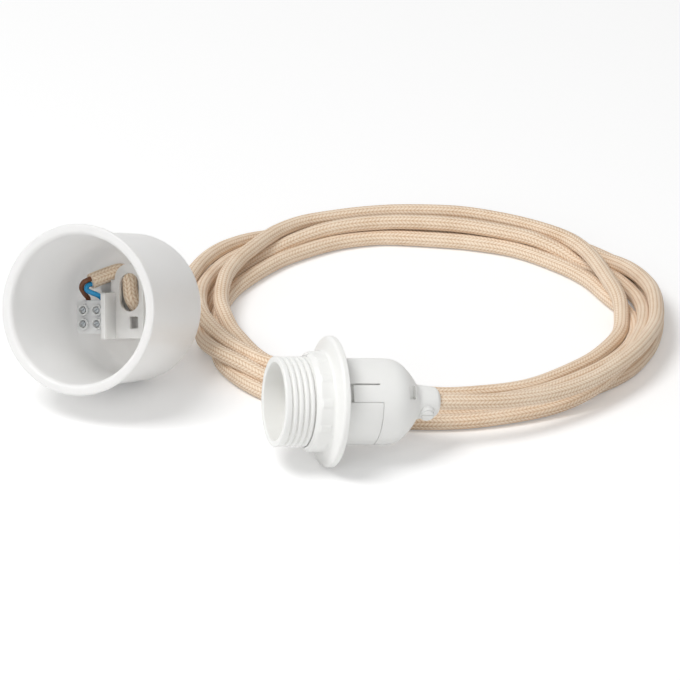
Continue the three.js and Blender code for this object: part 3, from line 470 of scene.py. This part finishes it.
# The cord comes first. One length of 6.8 mm cord: out of the lampholder's neck, five loose passes
# round the coil, and into the hole in the cup's base. Each pass lists the angle round the coil's
# centre in degrees, the distance from it and the height of the cord's own centre, in millimetres.
cord = {
    "diameter": 6.8,
    "centre": (86.9, 96.0),
    "step": 4.0,                    # between the points that are settled
    "fineStep": 1.6,                # between the rings of the finished mesh
    "sides": 20,
    "straightOut": (-16.5, -8, 0, 8, 17),   # along the neck's axis from its end
    "passes": [
        [(285.1, 121.6, 18), (290.1, 119.9, 16.6), (295.4, 117.8, 15), (301.3, 115.6, 13.8),
         (307.8, 113.2, 13), (314.9, 110.7, 12.6), (321.9, 108.7, 12.5), (329.6, 106.8, 12.5),
         (340, 104.6, 12), (347, 103.2, 11.5), (2, 101.2, 10.5), (11, 100.6, 9.5),
         (22, 99.2, 8), (32, 98, 5.5), (45, 96, 4), (60, 93.5, 3.4), (86, 91, 3.4), (105, 94.5, 3.4),
         (120, 96.8, 3.4), (128, 97, 3.7), (137, 98, 4.8), (145, 98.3, 5.6), (152, 98.5, 6), (165, 98, 7),
         (180, 97.5, 9), (192, 97.1, 10), (205, 95.3, 10), (212, 94.3, 10), (222, 93, 10), (235, 90, 10),
         (250, 86, 9), (262, 82.5, 6)],
        [(274, 81.3, 3.4), (287, 82.8, 3.4), (302, 85.3, 3.4), (321, 85.6, 3.4), (332, 87.1, 3.4),
         (347, 89.5, 4.2), (355, 88.8, 6.5), (2, 88, 8.8), (8, 86.8, 10), (14, 86, 10.3), (18, 86.2, 10.4),
         (24, 87, 10.4), (30, 88.5, 10.4), (38, 90.8, 10.4), (46, 92.6, 10.2), (54, 93.8, 10.1),
         (62, 94.8, 10.1), (70, 96, 10.1), (80, 98, 10), (95, 99, 10), (104, 99.6, 10), (113, 100.2, 10),
         (122, 100.6, 10.3), (130, 98.3, 10.8), (137, 95.2, 11.2), (145, 92.6, 11.2), (152, 91.8, 10.8),
         (158, 91.5, 10), (166, 91, 9), (181, 90.3, 5.5), (192, 88, 3.4), (201, 86.2, 3.4), (210, 85.7, 3.4),
         (218, 84.7, 3.4), (223, 83.4, 3.4), (235, 84, 3.4), (250, 87.5, 3.4), (262, 90, 3.4)],
        [(274, 91, 3.4), (287, 91.5, 3.4), (302, 92.5, 3.4), (321, 93.5, 3.4), (335, 95.5, 3.4),
         (345, 96, 3.4), (352, 95, 3.4), (0, 92.5, 3.4), (8, 88.5, 3.4), (14, 86, 3.4), (28, 84.8, 3.4),
         (41, 84, 3.4), (59, 84.1, 3.4), (75, 83.3, 3.4), (86, 83.7, 3.4), (99, 87.2, 3.4), (105, 88.8, 3.4),
         (116, 90, 3.4), (127, 89.2, 3.4), (138, 88.8, 3.4), (160, 88.9, 3.4), (174, 89.5, 3.4),
         (190, 91.5, 3.4), (200, 95, 3.4), (209, 99, 3.4), (217, 100.5, 3.4), (227, 102.2, 3.4),
         (240, 104.5, 3.4), (255, 106.5, 3.4)],
        [(274, 107.7, 3.4), (287, 108.1, 3.4), (302, 108.6, 3.4), (312, 108.3, 5), (320, 106.6, 7),
         (328, 104.5, 8.5), (337, 101.5, 9), (346, 99.5, 8.5), (355, 98, 7), (5, 97.6, 4.6), (12, 97.6, 3.6),
         (25, 96.5, 3.5), (32, 94, 3.6), (38, 91.5, 3.9), (46, 89, 7.3), (54, 88, 8.9), (60, 87.5, 9),
         (75, 86.8, 9.2), (86, 86.6, 9.4), (99, 88.5, 9), (112, 91, 8), (125, 93.5, 6), (138, 95.5, 4),
         (150, 95.6, 3.4), (165, 95.7, 3.4), (180, 96.3, 3.6), (195, 98.5, 5), (203, 101, 7.2),
         (209, 101.7, 8.2), (215, 101, 8.1), (222, 99, 6.6), (229, 97.4, 4.8), (237, 97, 3.6),
         (250, 98.5, 3.4), (262, 100, 3.4)],
        [(274, 101, 3.4), (287, 101.3, 3.4), (302, 101.5, 3.4), (310, 103, 3.4), (316, 104.8, 3.4),
         (326, 106, 3.4), (337, 104.6, 3.4), (346, 103.4, 3.4), (0, 102.4, 3.4), (15, 102.9, 3.4),
         (30, 102.5, 3.4), (50, 101, 3.4), (70, 99.5, 3.4), (86, 98.5, 3.4), (105, 101, 3.4),
         (120, 103.8, 3.5), (130, 104.4, 4.6), (137, 104.4, 6.5), (146, 103.8, 8.8), (154, 103.4, 9.8),
         (165, 102.4, 11)],
    ],
    "leadIn": [(-20.6, 92.5, 12.0), (-22.6, 84.6, 13.2), (-24.3, 77.4, 16.7)],
    "straightIn": (21, 14, 7, -1),          # along the cup's axis to its hole
    # how the passes come to rest on each other
    "rounds": 170,
    "lastRounds": 40,               # of them, those with one pass of stiffness and not two
    "held": 32,                     # mm at either end that stay where they are
    "freed": 30,                    # mm over which the cord then comes free
    "neighbours": 9,                # steps along the cord that don't count as touching
    "share": 0.55,                  # of what is missing, moved in one round
}


def cordExit():
    # Where the cord leaves the lampholder's neck.
    return np.array(holderPlace["foot"]) - aimedAxes(holderPlace)[2] * holderPlace["neck"]


def cordGuide():
    # Points in order: behind the neck's end along its axis, round the coil, and up to the cup's hole.
    neckWay = -aimedAxes(holderPlace)[2]
    cupWay = -aimedAxes(cupPlace)[2]
    cupHole = np.array(cupPlace["foot"])
    start = [cordExit() + neckWay * s for s in cord["straightOut"]]
    lanes = np.vstack([np.array(lane, float) for lane in cord["passes"]])
    angle = np.radians(lanes[:, 0])
    rounds = np.stack([cord["centre"][0] + lanes[:, 1] * np.cos(angle),
                       cord["centre"][1] + lanes[:, 1] * np.sin(angle), lanes[:, 2]], axis=1)
    end = [cupHole + cupWay * s for s in cord["straightIn"]]
    return np.vstack([start, rounds, cord["leadIn"], end])


def smoothLine(points, step, samples=30):
    # A centripetal Catmull-Rom curve through the points: each piece blends the lines through its
    # four nearest points by the square root of their distances. It is then cut into equal steps.
    ends = np.vstack([2 * points[0] - points[1], points, 2 * points[-1] - points[-2]])
    knots = np.concatenate([[0], np.cumsum(np.linalg.norm(np.diff(ends, axis=0), axis=1) ** 0.5)])
    k = [knots[n:len(knots) - 3 + n, None, None] for n in range(4)]
    p = [ends[n:len(ends) - 3 + n, None, :] for n in range(4)]
    t = k[1] + (k[2] - k[1]) * np.linspace(0, 1, samples, endpoint=False)[None, :, None]
    a1 = (k[1] - t) / (k[1] - k[0]) * p[0] + (t - k[0]) / (k[1] - k[0]) * p[1]
    a2 = (k[2] - t) / (k[2] - k[1]) * p[1] + (t - k[1]) / (k[2] - k[1]) * p[2]
    a3 = (k[3] - t) / (k[3] - k[2]) * p[2] + (t - k[2]) / (k[3] - k[2]) * p[3]
    b1 = (k[2] - t) / (k[2] - k[0]) * a1 + (t - k[0]) / (k[2] - k[0]) * a2
    b2 = (k[3] - t) / (k[3] - k[1]) * a2 + (t - k[1]) / (k[3] - k[1]) * a3
    curve = (k[2] - t) / (k[2] - k[1]) * b1 + (t - k[1]) / (k[2] - k[1]) * b2
    line = np.vstack([curve.reshape(-1, 3), points[-1:]])
    along = np.concatenate([[0], np.cumsum(np.linalg.norm(np.diff(line, axis=0), axis=1))])
    marks = np.linspace(0, along[-1], int(round(along[-1] / step)) + 1)
    return np.stack([np.interp(marks, along, line[:, n]) for n in range(3)], axis=1)


def settled(line):
    # The cord's passes come to rest against each other and the table. In each round, a point with
    # others nearer than one diameter moves away by the mean of what is missing; the offsets then
    # spread along the cord as its stiffness would, and nothing goes below the table.
    count = len(line)
    index = np.arange(count)
    along = index * cord["step"]
    loose = np.clip((along - cord["held"]) / cord["freed"], 0, 1)
    loose = (loose * loose[::-1])[:, None]
    apart = np.abs(index[:, None] - index[None, :]) > cord["neighbours"]
    offset = np.zeros_like(line)
    for turn in range(cord["rounds"]):
        here = line + offset
        gap = here[:, None, :] - here[None, :, :]
        distance = np.sqrt(np.einsum("ijk,ijk->ij", gap, gap)) + 1e-6
        near = apart & (distance < cord["diameter"])
        push = np.where(near, (cord["diameter"] - distance) / distance, 0)
        missing = np.einsum("ij,ijk->ik", push, gap) / np.maximum(near.sum(axis=1), 1)[:, None]
        offset = offset + missing * cord["share"] * loose
        for _ in range(2 if turn < cord["rounds"] - cord["lastRounds"] else 1):
            offset[1:-1] = offset[1:-1] * 0.5 + (offset[:-2] + offset[2:]) * 0.25
        offset[:, 2] += np.maximum(cord["diameter"] / 2 - line[:, 2] - offset[:, 2], 0)
    return line + offset


def carriedFrames(line):
    # Two directions across the line at each point. The first comes from the point before it, with
    # its part along the line taken out, so the section never twists. The few hundred points are
    # walked in order because each depends on the last.
    ahead = np.gradient(line, axis=0)
    ahead /= np.linalg.norm(ahead, axis=1, keepdims=True)
    across = np.empty_like(line)
    last = np.cross(ahead[0], (0, 0, 1.0))
    for n, way in enumerate(ahead):
        last = last - way * last.dot(way)
        last = last / np.linalg.norm(last)
        across[n] = last
    return ahead, across, np.cross(ahead, across)


def tubeShell(line, radius, sides):
    # Points at the radius round each point of the line; both ends close in to a flat middle, so the
    # shell has no hole. Gives points, faces, and the UV map of each face corner.
    ahead, across, over = carriedFrames(line)
    closing = np.array([0.02, 0.6, 0.93])
    size = np.concatenate([closing, np.ones(len(line)), closing[::-1]]) * radius
    line, across, over = (np.vstack([np.repeat(rows[:1], len(closing), axis=0), rows,
                                     np.repeat(rows[-1:], len(closing), axis=0)])
                          for rows in (line, across, over))
    along = np.concatenate([[0], np.cumsum(np.linalg.norm(np.diff(line, axis=0), axis=1))])
    angle = np.linspace(0, 2 * math.pi, sides, endpoint=False)
    points = (line[:, None] + size[:, None, None] * (across[:, None] * np.cos(angle)[None, :, None]
                                                    + over[:, None] * np.sin(angle)[None, :, None]))
    rows = len(line)
    i, j = np.meshgrid(np.arange(rows - 1), np.arange(sides), indexing="ij")
    after = (j + 1) % sides
    faces = np.stack([i * sides + j, i * sides + after,
                      (i + 1) * sides + after, (i + 1) * sides + j], axis=-1)
    u = np.stack([j, j + 1, j + 1, j], axis=-1) / sides
    v = np.stack([along[i], along[i], along[i + 1], along[i + 1]], axis=-1)
    caps = np.array([np.arange(sides)[::-1], (rows - 1) * sides + np.arange(sides)])
    return points.reshape(-1, 3), faces.reshape(-1, 4), np.stack([u, v], axis=-1).reshape(-1, 2), caps


def tubePiece(name, line, radius, sides, material):
    # One tube along a line as a piece of its own, turned to face out, with a face over each end.
    points, faces, uv, caps = tubeShell(line, radius, sides)
    if signedVolume(points, faces) < 0:
        faces = faces[:, ::-1]
        uv = uv.reshape(-1, 4, 2)[:, ::-1].reshape(-1, 2)
        caps = caps[:, ::-1]
    mesh = bpy.data.meshes.new(name)
    mesh.from_pydata((points / 1000).tolist(), [], faces.tolist() + caps.tolist())
    layer = mesh.uv_layers.new(name="braid")
    layer.data.foreach_set("uv", np.vstack([uv, np.zeros((2 * sides, 2))]).astype(np.float32).ravel())
    mesh.polygons.foreach_set("use_smooth", np.full(len(mesh.polygons), True))
    mesh.materials.append(material)
    mesh.update()
    mesh.set_sharp_from_angle(angle=math.radians(60))
    piece = bpy.data.objects.new(name, mesh)
    bpy.context.collection.objects.link(piece)
    return piece


def makeCord():
    rough = settled(smoothLine(cordGuide(), cord["step"]))
    line = smoothLine(rough, cord["fineStep"])
    piece = tubePiece("textileCord", line, cord["diameter"] / 2, cord["sides"], cottonBraid)
    showAs(piece, "textile", "cord_coil", "cord_lead_out", "cord_lead_in")


makeCord()


# Lampholder, along its own axis: zero is the rear face of the shade ring, the mouth lies at +Z.
# Lengths are in millimetres and angles in degrees. Profiles list radius, height and rounding.
skirt = {
    "threadRadius": 19.2, "threadDepth": 1.1, "threadPitch": 2.5, "threadCrown": 0.12,
    "threadStart": -0.25,           # height where the groove begins
    "threadFade": (2.3, 1.6),       # before the mouth, where the groove fades out
    "length": 25.6, "bore": 16.5,
    # the rest of the profile, from the stop collar back through the bore
    "inside": [(20.6, -0.3, 0.3), (20.6, -2.3, 0.3), (16.3, -2.3, 0.1), (16.3, -8.3, 0.3),
               (14.9, -8.3, 0.3), (14.9, -1.5, 0.2), (16.5, -1.5, 0.2)],
    # the two panels that lie in the cap's windows
    "panelFrom": -81.4, "panelTo": -1.2, "panelInner": 16.7, "panelOuter": 18.4,
    "panelEnd": -17.3, "panelTop": -2.0,
}


def smoothStep(value, low, high):
    t = np.clip((value - low) / (high - low), 0, 1)
    return t * t * (3 - 2 * t)


def threadGroove(radius, height, angle):
    # The outer thread: a rounded groove that climbs one pitch a turn. With t the phase in the pitch,
    # its depth is cos(pi t)^8 and its crest is raised by (1 - cos 2 pi t) / 2 of the crown. It fades
    # out before the mouth's plain edge.
    phase = height / skirt["threadPitch"] - angle / (2 * math.pi)
    outer = (np.abs(radius - skirt["threadRadius"]) < 0.05) & (height > skirt["threadStart"])
    fadeFrom, fadeTo = (skirt["length"] - s for s in skirt["threadFade"])
    fade = 1 - smoothStep(height, fadeFrom, fadeTo)
    crown = skirt["threadCrown"] * (1 - np.cos(2 * math.pi * phase)) / 2
    depth = skirt["threadDepth"] * np.abs(np.cos(math.pi * phase)) ** 8
    return np.where(outer, radius - (depth - crown + skirt["threadCrown"]) * fade, radius)


def makeSkirt():
    s = skirt
    profile = roundedProfile([
        (s["bore"], s["length"], 0.5), (s["threadRadius"], s["length"], 0.7),
        (s["threadRadius"], -0.3, 0.02), *s["inside"]], 5, 0.17)
    shells = [turned(profile, 224, threadGroove)]
    for side in (0, 180):
        shells.append(bentPlate(side + s["panelFrom"], side + s["panelTo"], s["panelInner"],
                                s["panelOuter"], s["panelEnd"], s["panelTop"], 0.15, 30))
    piece = makePiece("threadedSkirt", [placed(shell, holderPlace) for shell in shells], holderPlastic)
    showAs(piece, "white_plastic", "holder_skirt")


ring = {
    "collarRadius": 21.1,
    "ribCount": 12, "ribHeight": 0.35, "ribHalf": 4.3, "ribPhase": 27.0,
    "ribEdge": 0.5,                 # degrees over which a rib's flank rises, either way
    "ribRise": (5.3, 6.1),          # heights between which the ribs begin, and between which they end
    "ribFall": (10.0, 10.6),
    # seat, flange, hollow to the collar, collar, front edge and bore
    "profile": [(19.3, 0.3, 0.1), (21.3, 0.3, 0.1), (21.6, 0, 0.1), (27.8, 0, 0.5), (27.8, 2.9, 1.5),
                (23.6, 3.8, 1.6), (21.1, 4.3, 1.7), (21.1, 10.7, 0.7), (19.7, 12.4, 0.3),
                (19.3, 12.4, 0.15)],
    # a notch in the front edge: degrees, radii and heights, each from and to, then rounding and spans
    "notch": (76.4, 83.6, 17.5, 20.7, 11.1, 13.6, 0.2, 4),
}


def ringRibs(radius, height, angle):
    # Grip ribs on the ring's collar: a flat-topped bump of angle times a flat-topped bump of height.
    r = ring
    step = 360 / r["ribCount"]
    turn = (np.degrees(angle) - r["ribPhase"] + step / 2) % step - step / 2
    bump = 1 - smoothStep(np.abs(turn), r["ribHalf"] - r["ribEdge"], r["ribHalf"] + r["ribEdge"])
    lengthwise = smoothStep(height, *r["ribRise"]) * (1 - smoothStep(height, *r["ribFall"]))
    collar = (radius > r["collarRadius"] - 0.03) & (radius < r["collarRadius"] + 1.6) & (height > 4)
    return np.where(collar, radius + r["ribHeight"] * bump * lengthwise, radius)


def makeRing():
    profile = roundedProfile(ring["profile"], 8, 0.3)
    piece = makePiece("shadeRing", [placed(turned(profile, 288, ringRibs), holderPlace)], holderPlastic)
    notch = makePiece("notch", [placed(bentPlate(*ring["notch"]), holderPlace)], None)
    cut(piece, [notch])
    showAs(piece, "white_plastic", "shade_ring")


cap = {
    # outside: barrel, dome and neck, then the bores back to the barrel's front edge
    "profile": [(18.4, -2.6, 0.25), (18.4, -22.0, 1.0), (18.3, -24.2, 1.0), (17.85, -26.2, 1.0),
                (17.1, -28.0, 1.0), (15.9, -29.8, 1.0), (14.4, -31.4, 1.0), (12.7, -33.0, 1.0),
                (11.1, -34.3, 1.0), (9.5, -35.4, 1.0), (8.1, -36.3, 1.0), (7.4, -37.4, 1.4),
                (6.2, -45.6, 1.6), (4.6, -46.8, 0.8), (3.7, -46.8, 0.5), (3.7, -35.6, 0.5),
                (12.9, -28.6, 0.8), (16.6, -22, 1.5), (16.6, -2.6, 0.2)],
    # cut on both sides: the panel's window, the slit that frees the latch, and the latch's setback.
    # Degrees, radii and heights, each from and to, then rounding and spans
    "windows": [(-81.8, -0.8, 15.6, 19.6, -17.46, -1.0, 0.2, 30),
                (22.2, 24.6, 15.6, 19.6, -16.2, -1.2, 0.2, 4),
                (-2.3, 23.4, 15.55, 19.65, -4.3, -1.1, 0.2, 8)],
    # the pocket for a screwdriver: a block's corners, and how it leans about a height
    "pocket": ((11.8, 0.9, -33.6), (19.0, 6.5, -29.4)), "pocketMiddle": -31.4, "pocketLean": 1.1,
    # the boss round the grip screw, along the screw's own axis
    "boss": [(2.75, 3.9, 0.05), (3.3, 3.9, 0.05), (3.2, 8.6, 0.3), (2.75, 8.6, 0.1)],
}
gripScrew = {
    "angle": -42.0, "height": -40.4,
    "profile": [(0.02, 4.0, 0), (1.9, 4.0, 0.2), (1.9, 7.2, 0.1), (2.6, 7.2, 0.2), (2.6, 8.9, 0.35),
                (0.02, 8.9, 0)],
    "slot": ((-3.2, -0.3, 8.3), (3.2, 0.3, 9.9), 0.1),
}


def pryPocket(side):
    # A block leaned with the dome, so that the pocket is equally deep all over: x moves out by the
    # lean for each millimetre of height.
    points, faces = roundedBlock(*cap["pocket"], 0.3, (1, 4, 4))
    points[:, 0] += (points[:, 2] - cap["pocketMiddle"]) * cap["pocketLean"]
    return (points * np.array([-1, -1, 1]) if side == 180 else points), faces


def onNeck(shell):
    # Puts a shell made about the grip screw's axis in its place on the neck.
    return placed(radial(shell, gripScrew["angle"], gripScrew["height"]), holderPlace)


def makeCap():
    profile = roundedProfile(cap["profile"], 4, 1.2)
    piece = makePiece("holderCap", [placed(turned(profile, 224), holderPlace)], holderPlastic)
    cutters = []
    for side in (0, 180):
        parts = [bentPlate(side + start, side + end, *rest) for start, end, *rest in cap["windows"]]
        parts.append(pryPocket(side))
        cutters += [makePiece("cutter", [placed(part, holderPlace)], None) for part in parts]
    cut(piece, cutters)
    boss = onNeck(turned(roundedProfile(cap["boss"], 4, 0.6), 64))
    made = makePiece("screwBoss", [boss], holderPlastic, sharp=40)
    showAs(piece, "white_plastic", "holder_cap")
    showAs(made, "white_plastic")


def makeGripScrew():
    screw = onNeck(turned(roundedProfile(gripScrew["profile"], 4, 0.4), 64))
    piece = makePiece("cordGripScrew", [screw], holderPlastic)
    cut(piece, [makePiece("slot", [onNeck(roundedBlock(*gripScrew["slot"]))], None)])
    showAs(piece, "white_plastic", "cord_grip_screw")


makeSkirt()
makeRing()
makeCap()
makeGripScrew()
print("lampholder made")


# Ceiling cup, along its own axis: zero is the outside of its base, the mouth lies at +Z.
cup = {"height": 60.0, "base": 32.0, "body": 33.6, "wall": 1.6, "floor": 1.8, "corner": 8.5,
       "innerCorner": 7.1, "rim": 36.7, "rimThickness": 2.2, "hole": 4.0}


def quarter(radius, floor, corner, angles):
    # A profile's corner as a quarter circle of the corner's radius, inside a wall and over a floor.
    a = np.radians(angles)
    across = radius - corner + corner * np.cos(a)
    up = floor + corner + corner * np.sin(a)
    return [(r, z, 0.2) for r, z in zip(across, up)]


def makeCup():
    c = cup
    outer = [(c["hole"], 0, 0.4)] + quarter(c["base"], 0, c["corner"], np.linspace(-90, 0, 14))
    inner = quarter(c["base"] - c["wall"], c["floor"], c["innerCorner"], np.linspace(0, -90, 12))
    rimLow = c["height"] - c["rimThickness"]
    top = [(c["body"], rimLow, 0.5), (c["rim"], rimLow, 0.7), (c["rim"], c["height"], 0.9),
           (c["body"] - c["wall"] + 1.0, c["height"], 0.9), (c["body"] - c["wall"], c["height"] - 1.6, 0.8)]
    profile = roundedProfile(outer + top + inner + [(c["hole"], c["floor"], 0.3)], 5, 2.5)
    piece = makePiece("ceilingCup", [placed(turned(profile, 288), cupPlace)], cupPlastic)
    showAs(piece, "white_plastic", "ceiling_cup")


makeCup()

# The cord's end inside the cup and its two cores, which go into the terminal block.
tail = {
    # from the cup's hole up behind the bracket's window, under its bridge and out at the upper left
    "route": [(0, 0, 1.3), (0, 0.2, 3.2), (-0.4, 1.5, 5.4), (-1.3, 4.2, 7), (-1.9, 8, 7.2),
              (-2.3, 12, 7.2), (-3.9, 14.8, 7.2), (-6.9, 15.6, 7.6), (-10.4, 14.5, 9.5),
              (-13.6, 13, 12.4), (-16.4, 11.4, 15.8)],
    "coreDiameter": 2.2,
    "coreStart": (-1.5, 0.2, 2),    # along the cord from its end
    "coreAcross": (0.2, 0.9, 0.35),
    # how far across the cord's end each core leaves it, and its way down into the terminal block
    "brown": (1.25, [(-18.9, 10.9, 18.2), (-20.2, 8.8, 17.6), (-19.8, 6.2, 15.8), (-18.9, 4.2, 14.2),
                     (-18.7, 1.8, 13.76), (-18.7, -1.2, 13.76)]),
    "blue": (-1.25, [(-17.6, 7.8, 17.6), (-15.8, 6.6, 17.0), (-13.4, 5.4, 15.4), (-12.2, 4.0, 14.1),
                     (-12.1, 1.8, 13.76), (-12.1, -1.2, 13.76)]),
}


def makeTail():
    line = smoothLine(np.array(tail["route"], float), 0.8)
    there, _ = placed((line, None), cupPlace)
    piece = tubePiece("cordTail", there, cord["diameter"] / 2, 32, cottonBraid)
    showAs(piece, "textile", "cord_tail")
    ahead = (line[-1] - line[-2]) / np.linalg.norm(line[-1] - line[-2])
    across = np.array(tail["coreAcross"]) - ahead * ahead.dot(tail["coreAcross"])
    across /= np.linalg.norm(across)
    for colour, material in (("brown", brownPvc), ("blue", bluePvc)):
        side, way = tail[colour]
        start = [line[-1] + across * side + ahead * s for s in tail["coreStart"]]
        there, _ = placed((smoothLine(np.vstack([start, way]), 0.4), None), cupPlace)
        piece = tubePiece(colour + "CupCore", there, tail["coreDiameter"] / 2, 20, material)
        showAs(piece, colour + "_pvc", "cup_core_" + colour)


makeTail()
print("cup made")


# CAD nodes whose shape is right keep it and get these finishes.
finishes = {
    "contact_insert": insertPlastic, "centre_contact": brass, "side_contact": brass,
    "terminal_clamp_brown": brass, "terminal_clamp_blue": brass, "terminal_screw_brown": steel,
    "terminal_screw_blue": steel, "holder_core_brown": brownPvc, "holder_core_blue": bluePvc,
    "cord_bracket": cupPlastic, "terminal_block": milkyPolyamide, "block_barrel_brown": brass,
    "block_barrel_blue": brass, "block_screw_brown_cord": steel, "block_screw_brown_mains": steel,
    "block_screw_blue_cord": steel, "block_screw_blue_mains": steel,
}
for name, finish in finishes.items():
    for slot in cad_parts[name].material_slots:
        slot.material = finish


# Table and light
studio = {
    "floor": ("#f5f5f5", "#f8f8f8"),
    "floorGlow": 0.18,              # what the table adds where it is looked at
    "world": 0.43,                  # the white room's light; where it is looked at, it is full white
    "lamps": [
        # name, place, size, power, aim
        ("keySoftbox", (-1.1, -0.7, 2.4), 1.4, 40.0, (0.05, 0.05, 0.0)),
        ("frontFill", (-0.6, -2.6, 1.2), 1.6, 12.0, (0.0, 0.0, 0.03)),
    ],
}


def lookedAt(tree):
    # 1 for a ray that comes from the camera, a reflection or through something clear, else 0.
    paths = addNode(tree, "ShaderNodeLightPath").outputs
    seen = addNode(tree, "ShaderNodeMath", {"operation": "MAXIMUM"},
                   {0: paths["Is Camera Ray"], 1: paths["Is Glossy Ray"]})
    seen = addNode(tree, "ShaderNodeMath", {"operation": "MAXIMUM"},
                   {0: seen.outputs[0], 1: paths["Is Transmission Ray"]})
    return seen.outputs[0]


def makeTable():
    mesh = bpy.data.meshes.new("table")
    mesh.from_pydata([(-6, -6, 0), (6, -6, 0), (6, 6, 0), (-6, 6, 0)], [], [(0, 1, 2, 3)])
    table = bpy.data.objects.new("table", mesh)
    bpy.context.collection.objects.link(table)
    material, tree = emptyMaterial("matteWhiteTable")
    place = addNode(tree, "ShaderNodeTexCoord").outputs["Object"]
    grain = addNode(tree, "ShaderNodeTexNoise", {"Scale": 400.0}, {"Vector": place})
    colour = addNode(tree, "ShaderNodeMix", {"data_type": "RGBA", 6: toLinear(studio["floor"][0]),
                                             7: toLinear(studio["floor"][1])}, {0: grain.outputs[0]})
    matte = addNode(tree, "ShaderNodeBsdfDiffuse", {}, {"Color": colour.outputs[2]})
    strength = addNode(tree, "ShaderNodeMath", {"operation": "MULTIPLY", 1: studio["floorGlow"]},
                       {0: lookedAt(tree)})
    glow = addNode(tree, "ShaderNodeEmission", {"Color": (1, 1, 1, 1)}, {"Strength": strength.outputs[0]})
    both = addNode(tree, "ShaderNodeAddShader", {}, {0: matte.outputs[0], 1: glow.outputs[0]})
    addNode(tree, "ShaderNodeOutputMaterial", {}, {"Surface": both.outputs[0]})
    mesh.materials.append(material)


def makeLights():
    # Round lamps that shine down their own -Z: each is tilted from straight down by the angle to its
    # aim, then turned about Z towards it.
    world = bpy.data.worlds.new("studio")
    bpy.context.scene.world = world
    world.use_nodes = True
    tree = world.node_tree
    tree.nodes.clear()
    level = addNode(tree, "ShaderNodeMapRange", {3: studio["world"], 4: 1.0}, {0: lookedAt(tree)})
    light = addNode(tree, "ShaderNodeBackground", {"Color": (1, 1, 1, 1)}, {"Strength": level.outputs[0]})
    addNode(tree, "ShaderNodeOutputWorld", {}, {"Surface": light.outputs[0]})
    for name, place, size, power, aim in studio["lamps"]:
        data = bpy.data.lights.new(name, "AREA")
        data.shape = "DISK"
        data.size = size
        data.energy = power
        lamp = bpy.data.objects.new(name, data)
        lamp.location = place
        x, y, z = (aim[n] - place[n] for n in range(3))
        lamp.rotation_euler = (math.acos(-z / math.sqrt(x * x + y * y + z * z)), 0,
                               math.atan2(y, x) - math.pi / 2)
        bpy.context.collection.objects.link(lamp)


makeTable()
makeLights()
bpy.context.scene.view_settings.view_transform = "Standard"
print("table and light made")
